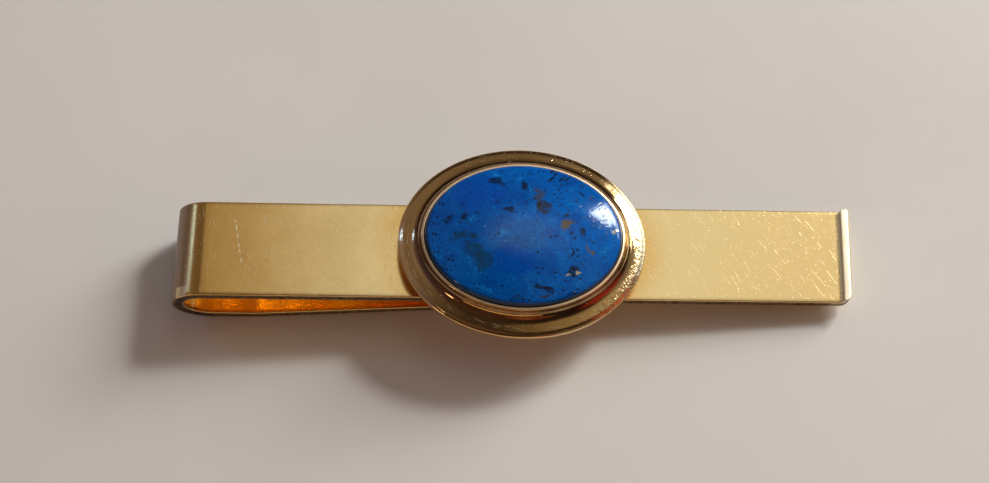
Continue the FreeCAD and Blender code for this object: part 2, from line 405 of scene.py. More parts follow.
# %% Build the coved frame
FLANGE_EDGE = 0.53 * MM
FLANGE_ROUND = 0.12 * MM
BEVEL_WIDTH = 0.38 * MM
BEVEL_RISE = 0.15 * MM
FLANGE_WIDTH = 0.84 * MM
FLANGE_RISE = 0.09 * MM
RIM_INSET = 1.85 * MM
RIM_LAND = 0.04 * MM
FIT = 0.02 * MM
flange_z = frame_low.z + FLANGE_EDGE
bore_inset = RIM_INSET + RIM_LAND
plate_inset = 1.43 * MM
UNDER_ROUND = 0.06 * MM
RIM_EASE = 0.05 * MM
RIM_DROP = 0.10 * MM
RIM_CURVE = 0.02 * MM
plate_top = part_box("back_plate")[1].z
rim_z = frame_high.z
profile = [(plate_inset, frame_low.z), (UNDER_ROUND, frame_low.z)]
profile += arc_between(profile[-1], (0.0, frame_low.z + UNDER_ROUND), 3, 1)
profile += [(0.0, frame_low.z + 0.2 * MM), (0.0, flange_z - FLANGE_ROUND)]
profile += arc_between(profile[-1], (FLANGE_ROUND, flange_z), 5, -1)
for step in range(1, 4):
    share = step / 3
    inset = FLANGE_ROUND + (BEVEL_WIDTH - FLANGE_ROUND) * share
    profile.append((inset, flange_z + BEVEL_RISE * share))
for step in range(1, 7):
    share = step / 6
    inset = BEVEL_WIDTH + (FLANGE_WIDTH - BEVEL_WIDTH) * share
    profile.append((inset, flange_z + BEVEL_RISE + FLANGE_RISE * share))
cove_top = (RIM_INSET - RIM_EASE, rim_z - RIM_DROP)
flange_slope = FLANGE_RISE / (FLANGE_WIDTH - BEVEL_WIDTH)
profile += sweep_up(profile[-1], flange_slope, cove_top, 22)
profile += arc_between(cove_top, (RIM_INSET + RIM_CURVE, rim_z), 4, -1)
profile += [(bore_inset, rim_z), (bore_inset, plate_top), (plate_inset, plate_top)]
coved_frame = oval_ring("coved_frame_polished", profile)
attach(coved_frame, "front")
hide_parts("coved_frame")

# %% [markdown]
# The bezel is the thin band that holds the stone. The setter pushed its top over the
# stone's shoulder with a burnisher, so its top is a flat, slightly soft line, painted pale as a painted
# highlight.

# %% Build the bezel band
BEZEL_WALL = 0.16 * MM
bezel_inset = bore_inset + FIT
BEZEL_EASE = 0.02 * MM
BEZEL_LEAN = 0.07 * MM
bezel_end = bezel_inset + BEZEL_WALL
bezel_profile = [(bezel_inset, bezel_low.z), (bezel_inset, bezel_high.z - BEZEL_EASE),
                 (bezel_inset + BEZEL_EASE, bezel_high.z), (bezel_end - BEZEL_LEAN, bezel_high.z)]
bezel_profile += arc_between(bezel_profile[-1], (bezel_end, bezel_high.z - BEZEL_LEAN), 4, 1)
bezel_profile.append((bezel_end, bezel_low.z))
bezel_ring = oval_ring("bezel_burnished", bezel_profile)
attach(bezel_ring, "front")
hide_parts("bezel_band")

# %% [markdown]
# ## The stone
#
# The cabochon is a low dome with a straight side and a tight shoulder. It is cut on a flat
# lap and then domed on a wheel, so its section is two arcs: a small one at the shoulder and
# a very large one over the top.

# %% Build the cabochon
STONE_SHOULDER = 0.55 * MM
STONE_EDGE_RISE = 3.15 * MM
STONE_SIDE = 0.6 * MM
STONE_STEPS = 320
DOME_STEPS = 30
DOME_CROWDING = 1.1
stone_half_x = (stone_high.x - stone_low.x) / 2
stone_half_y = (stone_high.y - stone_low.y) / 2
edge_z = FACE_Z + STONE_EDGE_RISE
shoulder_x = stone_half_x - STONE_SHOULDER
shoulder_z = edge_z + STONE_SHOULDER
dome_rise = stone_high.z - shoulder_z
dome_radius = (shoulder_x ** 2 + dome_rise ** 2) / (2 * dome_rise)
section = [(stone_half_x, stone_low.z), (stone_half_x, edge_z - STONE_SIDE), (stone_half_x, edge_z)]
section += [(stone_half_x - STONE_SHOULDER * (1 - math.cos(math.radians(a))),
             edge_z + STONE_SHOULDER * math.sin(math.radians(a))) for a in range(8, 73, 8)]
dome_start = section[-1][0]
for step in range(1, DOME_STEPS + 1):
    reach = dome_start * (1 - step / DOME_STEPS) ** DOME_CROWDING
    section.append((reach, stone_high.z - dome_radius + math.sqrt(dome_radius ** 2 - reach ** 2)))
points, faces = [], []
for step in range(STONE_STEPS):
    angle = 2 * math.pi * step / STONE_STEPS
    for reach, height in section[:-1]:
        points.append((SETTING_X + reach * math.cos(angle),
                       SETTING_Y + reach * math.sin(angle) * stone_half_y / stone_half_x, height))
rows = len(section) - 1
top_point = len(points)
points.append((SETTING_X, SETTING_Y, section[-1][1]))
for step in range(STONE_STEPS):
    low, high = step * rows, (step + 1) % STONE_STEPS * rows
    for j in range(rows - 1):
        faces.append((low + j, high + j, high + j + 1, low + j + 1))
    faces.append((low + rows - 1, high + rows - 1, top_point))
faces.append(tuple(step * rows for step in range(STONE_STEPS)))
stone = make_piece("lapis_polished", points, faces)
finish_mesh(stone)
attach(stone, "front")
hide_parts("lapis_cabochon")

# %% [markdown]
# ## Materials
#
# Every finish here is a recipe of shader nodes. Placing nodes one by one makes long code
# that hides the recipe, so a small bench does the placing and joining. A line then says
# what is mixed with what, and in which share.

# %% A bench for nodes
class Bench:
    """Places nodes in one node tree and joins them."""

    def __init__(self, tree):
        self.tree = tree

    def feed(self, socket, value):
        """Joins a node's output to a socket, or sets the socket to a plain value."""
        if isinstance(value, bpy.types.NodeSocket):
            self.tree.links.new(value, socket)
        else:
            socket.default_value = value

    def node(self, kind, *values, **settings):
        made = self.tree.nodes.new("ShaderNode" + kind)
        for label, setting in settings.items():
            setattr(made, label, setting)
        for slot, value in enumerate(values):
            if value is not None:
                self.feed(made.inputs[slot], value)
        return made

    def sum(self, operation, *values):
        return self.node("Math", *values, operation=operation).outputs[0]

    def times(self, *values):
        """The product of any number of values."""
        product = values[0]
        for value in values[1:]:
            product = self.sum("MULTIPLY", product, value)
        return product

    def plus(self, *values):
        """The total of any number of values."""
        total = values[0]
        for value in values[1:]:
            total = self.sum("ADD", total, value)
        return total

    def most(self, *values):
        """The greatest of any number of values."""
        greatest = values[0]
        for value in values[1:]:
            greatest = self.sum("MAXIMUM", greatest, value)
        return greatest

    def less(self, value):
        """What is left of 1 when value is taken away."""
        return self.sum("SUBTRACT", 1.0, value)

    def fall(self, value, low, high):
        """A soft step from 1 down to 0."""
        return self.step(value, low, high, 1.0, 0.0)

    def between(self, value, rise_from, rise_to, fall_from, fall_to):
        """1 between two soft limits and 0 outside them."""
        return self.times(self.step(value, rise_from, rise_to), self.fall(value, fall_from, fall_to))

    def vector(self, operation, *values):
        made = self.node("VectorMath", *values, operation=operation)
        return made.outputs["Value" if operation in ("LENGTH", "DOT_PRODUCT", "DISTANCE") else "Vector"]

    def scaled(self, vector, size):
        made = self.node("VectorMath", vector, operation="SCALE")
        self.feed(made.inputs["Scale"], size)
        return made.outputs["Vector"]

    def split(self, vector):
        return self.node("SeparateXYZ", vector).outputs

    def join(self, x, y, z=0.0):
        return self.node("CombineXYZ", x, y, z).outputs[0]

    def step(self, value, low, high, low_out=0.0, high_out=1.0):
        """A soft step from low_out to high_out as value goes from low to high."""
        return self.node("MapRange", value, low, high, low_out, high_out,
                         interpolation_type="SMOOTHSTEP").outputs[0]

    def mix(self, share, first, second, blend="MIX"):
        made = self.node("Mix", data_type="RGBA", blend_type=blend, clamp_factor=True)
        self.feed(made.inputs["Factor"], share)
        self.feed(made.inputs[6], first)
        self.feed(made.inputs[7], second)
        return made.outputs[2]

    def lay(self, colour, layers):
        """Lays colours over a first one, each in its own share."""
        for share, layer in layers:
            colour = self.mix(share, colour, layer)
        return colour

    def noise(self, place, size, detail=3.0, roughness=0.5):
        """Soft noise whose lumps are about size millimetres across."""
        made = self.node("TexNoise")
        self.feed(made.inputs["Vector"], self.scaled(place, 1.0 / size))
        self.feed(made.inputs["Scale"], 1.0)
        self.feed(made.inputs["Detail"], detail)
        self.feed(made.inputs["Roughness"], roughness)
        return made.outputs["Fac"]

    def use(self, group, **values):
        """Places a shader node group with its own values."""
        made = self.node("Group")
        made.node_tree = group
        for label, value in values.items():
            self.feed(made.inputs[label], value)
        return made.outputs["Mask"]

    def place_mm(self):
        """The point's place in the frame, in millimetres."""
        return self.scaled(self.node("TexCoord").outputs["Object"], 1 / MM)

    def stored(self, label, output="Fac"):
        return self.node("Attribute", attribute_name=label).outputs[output]

    def bumps(self, shader, height, strength, depth):
        """Raises the surface by height, in shading only."""
        bump = self.node("Bump")
        bump.inputs["Strength"].default_value = strength
        bump.inputs["Distance"].default_value = depth * MM
        self.feed(bump.inputs["Height"], height)
        self.feed(shader.inputs["Normal"], bump.outputs[0])


def new_group(name, inputs):
    """A shader node group that makes a mask, with its named inputs and a bench to fill it on."""
    tree = bpy.data.node_groups.new(name, "ShaderNodeTree")
    for label, value in inputs.items():
        kind = "NodeSocketVector" if value is None else "NodeSocketFloat"
        socket = tree.interface.new_socket(name=label, in_out="INPUT", socket_type=kind)
        if value is not None:
            socket.default_value = value
    tree.interface.new_socket(name="Mask", in_out="OUTPUT", socket_type="NodeSocketFloat")
    return tree, Bench(tree), tree.nodes.new("NodeGroupInput").outputs


def close_group(bench, mask):
    bench.feed(bench.tree.nodes.new("NodeGroupOutput").inputs["Mask"], mask)
    print("group", bench.tree.name, "has", len(bench.tree.nodes), "nodes")


def new_material(name):
    """A material with its shader, and a bench to fill it on."""
    material = bpy.data.materials.new(name)
    material.use_nodes = True
    return material, Bench(material.node_tree), material.node_tree.nodes["Principled BSDF"]


def give(piece, material):
    """Puts one material on a piece, whatever it had before."""
    piece.data.materials.clear()
    piece.data.materials.append(material)


# %% [markdown]
# ### Shared marks
#
# Worn gold shows the same few marks everywhere: single scratches, small pits, and soft
# clouds of tone where polish and skin oil were left. Each is a node group, so the strip, the
# frame and the stone carry the same wear in different amounts.
#
# A scratch could be stretched noise, but that gives a brushed look, not single strokes.
# Here the surface is divided into long cells, and each cell may hold one stroke with its
# own length, lean and place.

# %% Single scratches
strokes, bench, given = new_group(
    "strokes", {"Place": None, "Turn": 0.0, "Gap": 0.5, "Length": 2.0, "Width": 0.05, "Swing": 0.15,
                "Share": 0.5})
turned = bench.node("VectorRotate", rotation_type="Z_AXIS")
bench.feed(turned.inputs["Vector"], given["Place"])
bench.feed(turned.inputs["Angle"], given["Turn"])
across, along, depth = bench.split(turned.outputs[0])
across = bench.plus(across, bench.times(depth, 3.7))
grid = bench.join(bench.sum("DIVIDE", across, given["Gap"]), bench.sum("DIVIDE", along, given["Length"]))
cells = bench.node("TexVoronoi", voronoi_dimensions="2D", feature="F1")
bench.feed(cells.inputs["Vector"], grid)
cells.inputs["Scale"].default_value = 1.0
off_across, off_along = bench.split(bench.vector("SUBTRACT", grid, cells.outputs["Position"]))[:2]
luck = bench.node("SeparateColor", cells.outputs["Color"]).outputs
along_mm = bench.times(off_along, given["Length"])
lean = bench.times(bench.sum("SUBTRACT", luck[1], 0.5), given["Swing"], 2.0)
across_mm = bench.plus(bench.times(off_across, given["Gap"]), bench.times(along_mm, lean))
half_length = bench.times(given["Length"], bench.plus(bench.times(luck[2], 0.35), 0.12))
half_width = bench.times(given["Width"], bench.plus(bench.times(luck[1], 0.35), 0.25))
line = bench.fall(bench.sum("DIVIDE", bench.sum("ABSOLUTE", across_mm), half_width), 0.4, 1.0)
ends = bench.fall(bench.sum("DIVIDE", bench.sum("ABSOLUTE", along_mm), half_length), 0.5, 1.0)
kept = bench.sum("LESS_THAN", luck[0], given["Share"])
close_group(bench, bench.times(line, ends, kept))


def scratch(bench, place, turn, gap, length, width, swing, share):
    """Strokes at one turn: gap and length are the cell's, and share is how many cells have one."""
    return bench.use(strokes, Place=place, Turn=turn, Gap=gap, Length=length, Width=width,
                     Swing=swing, Share=share)


# %% Small pits
pits, bench, given = new_group("pits", {"Place": None, "Spacing": 0.5, "Size": 0.05, "Share": 0.5})
first, second, depth = bench.split(given["Place"])
flat = bench.join(bench.plus(first, bench.times(depth, 2.3)), bench.plus(second, bench.times(depth, 1.7)))
cells = bench.node("TexVoronoi", voronoi_dimensions="2D", feature="F1")
bench.feed(cells.inputs["Vector"], bench.scaled(flat, bench.sum("DIVIDE", 1.0, given["Spacing"])))
cells.inputs["Scale"].default_value = 1.0
luck = bench.node("SeparateColor", cells.outputs["Color"]).outputs
reach = bench.times(given["Size"], bench.plus(bench.times(luck[1], luck[1], 1.2), 0.4))
distance = bench.times(cells.outputs["Distance"], given["Spacing"])
inside = bench.fall(bench.sum("DIVIDE", distance, reach), 0.45, 1.0)
close_group(bench, bench.times(inside, bench.sum("LESS_THAN", luck[0], given["Share"])))

# %% Clouds of tone
clouds, bench, given = new_group("clouds", {"Place": None, "Size": 4.0})
soft = bench.node("TexNoise")
bench.feed(soft.inputs["Vector"], bench.scaled(given["Place"], bench.sum("DIVIDE", 1.0, given["Size"])))
for label, value in (("Scale", 1.0), ("Detail", 4.0), ("Roughness", 0.55)):
    soft.inputs[label].default_value = value
close_group(bench, bench.step(soft.outputs["Fac"], 0.32, 0.68))

# %% One straight mark between two places
mark, bench, given = new_group("mark", {"Place": None, "Start": None, "End": None, "Width": 0.1})
reach = bench.vector("SUBTRACT", given["End"], given["Start"])
offset = bench.vector("SUBTRACT", given["Place"], given["Start"])
share = bench.sum("DIVIDE", bench.vector("DOT_PRODUCT", offset, reach),
                  bench.vector("DOT_PRODUCT", reach, reach))
share = bench.node("Clamp", share).outputs[0]
gap = bench.vector("DISTANCE", offset, bench.scaled(reach, share))
close_group(bench, bench.fall(bench.sum("DIVIDE", gap, given["Width"]), 0.25, 0.55))

# %% [markdown]
# ### Satin gold
#
# The strip was brushed, worn bright, and never polished again. Its colour is a warm yellow,
# painted deeper towards the fold as painted shade. Scratches run across it near the fold and
# lean beyond the setting, because that is how a tie and a hand rub it. A scratch on gold shows
# bright: its rough walls scatter light from every lamp in the room, so the recipe raises its
# roughness, and its whiter colour is a painted glint. Round the setting the front is painted
# more orange. The cut sides are painted dark, a painted dark reflection. Inside, the strip is
# painted orange gold, a painted glow of light bouncing between its faces, and darker towards
# the setting, a painted shadow. The fold is painted a dark lilac brown, a painted reflection,
# with a painted highlight at its near end. The lip's inner wall was left as the file cut it,
# so it's matt, and it is painted pale gold, painted light on a wall in shade. The lip's grey
# is partly its matt filed face and partly a painted sheen.

# %% Satin gold for the strip
GOLD_LIGHT = (0.95, 0.765, 0.40, 1)
GOLD_DEEP = (0.67, 0.37, 0.085, 1)
GOLD_SIDE_PAINTED_DARK = (0.035, 0.014, 0.006, 1)
GOLD_INSIDE_PAINTED_GLOW = (0.97, 0.76, 0.30, 1)
GOLD_INSIDE_PAINTED_SHADE = (0.88, 0.62, 0.22, 1)
FOLD_PAINTED_DARK = (0.31, 0.24, 0.20, 1)
FOLD_PAINTED_HIGHLIGHT = (1.0, 0.80, 0.44, 1)
GOLD_MARK_GLINT = (1.0, 0.93, 0.70, 1)
GOLD_ORANGE_ROUND_SETTING = (0.86, 0.52, 0.15, 1)
LIP_PALE_AND_SHEEN = (0.66, 0.62, 0.54, 1)
LIP_WALL_PAINTED_LIGHT = (1.0, 0.90, 0.60, 1)
GRIME = (0.16, 0.13, 0.04, 1)


def near_setting(bench, place):
    """How far a place is from the setting's middle, with 1 at the frame's outer edge."""
    centre = (SETTING_X / MM, (SETTING_Y - BAR_Y) / MM, 0.0)
    stretch = (MM / frame_half_x, MM / frame_half_y, 0.0)
    return bench.vector("LENGTH", bench.vector("MULTIPLY", bench.vector("SUBTRACT", place, centre), stretch))


def strip_scratches(bench, place, left_part):
    """Upright strokes on the left part of the strip and leaning ones on the right part."""
    upright = scratch(bench, place, -0.12, 0.36, 1.0, 0.035, 0.10, 0.28)
    leaning = scratch(bench, place, -0.56, 0.55, 2.4, 0.036, 0.14, 0.42)
    hair = scratch(bench, place, -0.45, 0.22, 1.4, 0.026, 0.22, 0.5)
    crossing = scratch(bench, place, 0.9, 1.6, 2.2, 0.06, 0.3, 0.3)
    right_marks = bench.most(bench.times(leaning, 0.50), bench.times(hair, 0.32))
    left_marks = bench.most(upright, bench.times(hair, 0.25))
    both = bench.plus(bench.times(left_marks, left_part), bench.times(right_marks, bench.less(left_part)))
    return bench.most(both, bench.times(crossing, 0.10))


def deep_marks(bench, place, across, front_face):
    """The two deep scratches near the fold. A hard edge skipped as it made the long one."""
    flat_place = bench.vector("MULTIPLY", place, (1.0, 1.0, 0.0))
    beat = bench.plus(bench.times(across, 9.0), bench.times(bench.noise(place, 0.8, 1.0), 9.0))
    dashes = bench.step(bench.sum("SINE", beat), -0.5, 0.1, 0.15, 1.0)
    long_mark = bench.use(mark, Place=flat_place, Start=(-22.79, 2.43, 0), End=(-22.17, -1.19, 0), Width=0.09)
    short_mark = bench.use(mark, Place=flat_place, Start=(-20.48, 3.0, 0), End=(-20.29, 2.3, 0), Width=0.08)
    return bench.most(bench.times(long_mark, dashes, front_face), bench.times(short_mark, front_face, 0.7))


def strip_marks(bench, place, across, depth, left_part, front_face):
    """All the marks on the strip, which are painted whiter as a painted glint. Its inside was never rubbed,
    so they fade there.
    """
    sparks = bench.use(pits, Place=place, Spacing=0.85, Size=0.040, Share=0.35)
    small_sparks = bench.use(pits, Place=place, Spacing=0.36, Size=0.030, Share=0.62)
    marks = bench.most(deep_marks(bench, place, across, front_face),
                       bench.times(strip_scratches(bench, place, left_part), 0.75),
                       bench.times(sparks, 0.6), bench.times(small_sparks, 0.62))
    return bench.times(marks, bench.step(depth, 0.8, 0.97, 1.0, 0.25))


def satin_gold(name):
    material, bench, shader = new_material(name)
    place = bench.stored("strip_place", "Vector")
    cut_side = bench.stored("side")
    along, across, depth = bench.split(place)
    broad = bench.use(clouds, Place=place, Size=6.0)
    fine = bench.use(clouds, Place=place, Size=0.45)
    grit = bench.step(bench.noise(place, 0.12, 2.0), 0.42, 0.60)

    # where on the strip: lengths in millimetres from its middle, depths from its front face
    front_face = bench.fall(depth, 0.05, 0.2)
    inside = bench.step(depth, 0.85, 0.97)
    # painted shade: the front's gold is painted deeper towards the fold
    fold_painted_shade = bench.fall(along, -27.0, -9.0)
    far_right = bench.step(along, 10.0, 27.0)
    left_part = bench.fall(along, -6.0, 6.0)
    # painted reflection: the fold is painted dark lilac brown for the dark room it reflects
    on_fold = bench.times(bench.fall(along, -27.6, -25.9), bench.less(inside))
    # painted highlight: a pale patch at the near end of the fold
    fold_painted_highlight = bench.times(bench.fall(across, -3.25, -3.05),
                             bench.between(along, -27.5, -27.2, -26.5, -26.2), front_face)
    on_lip = bench.step(along, 26.44, 26.52)
    # painted light: the lip's inner wall sits in shade and is painted pale gold
    lip_wall = bench.times(on_lip, bench.fall(along, 27.05, 27.2))
    lip_foot = bench.times(bench.between(along, 26.10, 26.38, 26.44, 26.54), front_face, grit)
    # the front is painted more orange in a ring round the setting
    orange_round_setting = bench.times(bench.fall(near_setting(bench, place), 1.0, 1.28),
                        bench.plus(0.35, bench.times(broad, 0.65)), front_face)
    dirt = bench.times(bench.use(pits, Place=place, Spacing=3.4, Size=0.06, Share=0.3), front_face)
    # painted dark reflection: the cut sides are painted near black
    side_painted_dark = bench.times(cut_side, bench.plus(0.6, bench.times(fine, 0.4)))
    # painted glint: the scratches and pits are painted whiter
    marks = strip_marks(bench, place, across, depth, left_part, front_face)

    tone = bench.plus(bench.times(fold_painted_shade, 0.80), bench.times(far_right, 0.26), bench.times(broad, 0.10),
                      bench.times(fine, 0.03))
    colour = bench.mix(tone, GOLD_LIGHT, GOLD_DEEP)
    # painted glow and shadow: the inside is painted orange gold for light bouncing in the fold, and darker
    # towards the setting for its shadow
    inside_glow_and_shade = bench.mix(bench.step(along, -17.0, -9.0), GOLD_INSIDE_PAINTED_GLOW, GOLD_INSIDE_PAINTED_SHADE)
    inside_glow_share = bench.times(inside, bench.plus(0.7, bench.times(broad, 0.3)))
    # the lip's grey is partly its matt filed face and partly a painted sheen
    lip_sheen_share = bench.times(on_lip, bench.plus(0.55, bench.times(fine, 0.4)))
    layers = [(inside_glow_share, inside_glow_and_shade), (bench.times(on_fold, 0.9), FOLD_PAINTED_DARK), (fold_painted_highlight, FOLD_PAINTED_HIGHLIGHT),
              (bench.times(orange_round_setting, 0.75), GOLD_ORANGE_ROUND_SETTING), (lip_sheen_share, LIP_PALE_AND_SHEEN),
              (bench.times(lip_wall, 0.9), LIP_WALL_PAINTED_LIGHT), (bench.times(lip_foot, 0.45), GRIME),
              (bench.times(dirt, 0.7), GRIME), (marks, GOLD_MARK_GLINT), (side_painted_dark, GOLD_SIDE_PAINTED_DARK)]
    bench.feed(shader.inputs["Base Color"], bench.lay(colour, layers))
    bench.feed(shader.inputs["Metallic"], bench.plus(1.0, bench.times(lip_wall, -0.5)))

    rough = bench.plus(0.165, bench.times(broad, 0.04), bench.times(fine, 0.02), bench.times(marks, 0.28),
                       bench.times(on_lip, 0.14), bench.times(lip_foot, 0.3), bench.times(on_fold, 0.28),
                       bench.times(cut_side, 0.15), bench.times(inside, -0.03))
    bench.feed(shader.inputs["Roughness"], rough)
    bench.bumps(shader, bench.sum("SUBTRACT", bench.times(fine, 0.15), marks), 0.25, 0.012)
    return material


strip_gold = satin_gold("satin gold")
give(front_strip, strip_gold)
give(leg_strip, strip_gold)
print("satin gold has", len(strip_gold.node_tree.nodes), "nodes")

# %% [markdown]
# ### Polished gold
#
# The frame was buffed to a mirror, and its cove still is one, because nothing can rub the
# hollow. High in the cove it is painted dark, a painted reflection of a dark room, but not on
# the right side, where the cove is left bright. The flange outside took the knocks. Towards
# the lower right someone dressed it with a file, which left short strokes and dents, and along
# the top there is a grain of fine cracks from the die; the marks are painted whiter, a
# painted glint. The burnished rim is softer than the rest, and painted paler, a painted
# highlight.

# %% Polished gold for the frame and bezel
POLISHED = (0.90, 0.64, 0.32, 1)
POLISHED_DEEP = (0.72, 0.44, 0.18, 1)
FILED_GLINT = (1.0, 0.92, 0.76, 1)
RIM_PAINTED_HIGHLIGHT = (1.0, 0.80, 0.58, 1)
COVE_PAINTED_DARK = (0.16, 0.08, 0.04, 1)
FILED_GREY = (0.38, 0.35, 0.24, 1)


def round_angle(bench, spot):
    """The direction from the setting's middle: 0 at the top, growing to the right, in radians."""
    x, y = bench.split(spot)[:2]
    right = bench.sum("DIVIDE", bench.sum("SUBTRACT", x, SETTING_X / MM), frame_half_x / MM)
    up = bench.sum("DIVIDE", bench.sum("SUBTRACT", y, SETTING_Y / MM), frame_half_y / MM)
    return bench.sum("ARCTAN2", right, up)


def frame_marks(bench, spot, unrolled, on_flange, lower_right, top):
    """File strokes and knocks at the lower right, fine cracks on the top, and a few specks."""
    knocks = bench.step(bench.noise(unrolled, 0.30, 3.0, 0.6), 0.60, 0.70, 0.0, 0.6)
    filed = bench.most(bench.times(scratch(bench, unrolled, -0.75, 0.15, 0.60, 0.055, 0.5, 0.7), 0.6), knocks)
    filed = bench.times(filed, lower_right, on_flange)
    rubbed = bench.times(scratch(bench, unrolled, 1.45, 0.16, 1.8, 0.05, 0.1, 0.35),
                         bench.plus(0.15, bench.times(on_flange, 0.25)))
    cracks = scratch(bench, unrolled, 0.3, 0.24, 0.45, 0.035, 1.2, 0.5)
    specks = bench.use(pits, Place=spot, Spacing=0.26, Size=0.028, Share=0.5)
    grain = bench.times(bench.most(cracks, specks), top, on_flange, 0.17)
    few_specks = bench.use(pits, Place=spot, Spacing=0.8, Size=0.05, Share=0.3)
    return bench.most(filed, grain, bench.times(few_specks, 0.5), bench.times(rubbed, 0.6))


def polished_gold(name):
    material, bench, shader = new_material(name)
    spot = bench.place_mm()
    inset = bench.stored("inset")
    angle = round_angle(bench, spot)
    unrolled = bench.join(bench.times(angle, 9.0), inset, bench.times(bench.split(spot)[2], 0.2))
    broad = bench.use(clouds, Place=spot, Size=2.2)
    fine = bench.use(clouds, Place=spot, Size=0.25)

    # where on the ring: insets in millimetres from its outer edge, angles in radians
    on_flange = bench.fall(inset, 0.75, 0.95)
    on_bevel = bench.fall(inset, 0.34, 0.42)
    # painted highlight: the rim and bezel are painted paler gold
    on_rim = bench.step(inset, 1.84, 1.88)
    lower_right = bench.between(angle, 1.2, 1.5, 2.3, 2.75)
    top = bench.between(angle, -1.1, -0.6, 0.4, 1.0)
    # painted reflection: high in the cove the gold is painted dark, but not on the right side
    cove_bright_side = bench.between(angle, 1.05, 1.35, 1.72, 1.95)
    cove_painted_dark = bench.times(bench.between(inset, 1.02, 1.35, 1.80, 1.85), bench.less(cove_bright_side))
    worn_edge = bench.most(bench.step(bench.noise(unrolled, 0.5, 3.0), 0.40, 0.60, 0.0, 0.6),
                           bench.times(on_bevel, 0.9))
    grey = bench.times(bench.between(angle, 0.7, 1.1, 1.8, 2.2), on_flange, worn_edge)
    marks = frame_marks(bench, spot, unrolled, on_flange, lower_right, top)

    tone = bench.plus(bench.times(broad, 0.4), bench.times(fine, 0.1))
    colour = bench.mix(tone, POLISHED, POLISHED_DEEP)
    cove_dark_share = bench.times(cove_painted_dark, bench.plus(0.72, bench.times(broad, 0.2)))
    # painted glint: the frame's marks are painted whiter
    layers = [(cove_dark_share, COVE_PAINTED_DARK), (grey, FILED_GREY), (bench.times(on_rim, 0.8), RIM_PAINTED_HIGHLIGHT),
              (bench.times(marks, 0.8), FILED_GLINT)]
    bench.feed(shader.inputs["Base Color"], bench.lay(colour, layers))
    shader.inputs["Metallic"].default_value = 1.0
    rough = bench.plus(0.06, bench.times(fine, 0.03), bench.times(on_flange, broad, 0.06),
                       bench.times(lower_right, on_flange, 0.03), bench.times(on_rim, 0.30),
                       bench.times(marks, 0.30), bench.times(grey, 0.30))
    bench.feed(shader.inputs["Roughness"], rough)
    dents = bench.times(bench.step(bench.noise(unrolled, 0.5, 2.0), 0.35, 0.65), lower_right, on_flange)
    sway = bench.noise(bench.join(bench.times(angle, 2.4), bench.times(inset, 2.0)), 1.0, 2.0)
    rise = bench.plus(bench.times(dents, 1.2), bench.times(sway, 0.8), bench.times(broad, 0.5),
                      bench.times(marks, -0.8), bench.times(fine, 0.08))
    bench.bumps(shader, rise, 0.4, 0.03)
    return material


frame_gold = polished_gold("polished gold")
give(coved_frame, frame_gold)
give(bezel_ring, frame_gold)
for node in ("mounting_pad", "back_plate"):
    give(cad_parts[node], frame_gold)
print("polished gold has", len(frame_gold.node_tree.nodes), "nodes")

# %% [markdown]
# ### Solder and setting cement
#
# Both hide under the setting. Gold solder is paler than the gold it joins and keeps the
# rippled skin that it froze with. The cement that beds the stone is a chalky filler.

# %% Solder and cement
def rough_filler(name, light, dark, metallic, roughness, grain):
    material, bench, shader = new_material(name)
    spot = bench.place_mm()
    lumps = bench.use(clouds, Place=spot, Size=grain)
    holes = bench.use(pits, Place=spot, Spacing=grain, Size=grain * 0.2, Share=0.4)
    colour = bench.mix(lumps, light, dark)
    bench.feed(shader.inputs["Base Color"], bench.mix(bench.times(holes, 0.6), colour, dark))
    shader.inputs["Metallic"].default_value = metallic
    bench.feed(shader.inputs["Roughness"], bench.plus(roughness, bench.times(lumps, 0.15)))
    bench.bumps(shader, bench.sum("SUBTRACT", lumps, holes), 0.6, 0.03)
    return material


give(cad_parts["pad_solder_seam"],
     rough_filler("gold solder", (0.80, 0.66, 0.40, 1), (0.45, 0.30, 0.14, 1), 1.0, 0.32, 0.4))
give(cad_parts["stone_bed"],
     rough_filler("stone cement", (0.42, 0.40, 0.36, 1), (0.26, 0.24, 0.21, 1), 0.0, 0.8, 0.3))

# %% [markdown]
# ### Lapis
#
# Lapis is a rock, not a crystal: blue grains with clouds of paler and darker blue, grey
# and green flecks of other minerals, brown veins, and small grains of pyrite that flash
# like brass. Noise gives the rock its body. The few large flecks that make this stone
# itself are listed one by one, as fractions of the stone's half-width and half-depth. Two kinds
# are soft clouds in the blue, and the others have ragged edges.

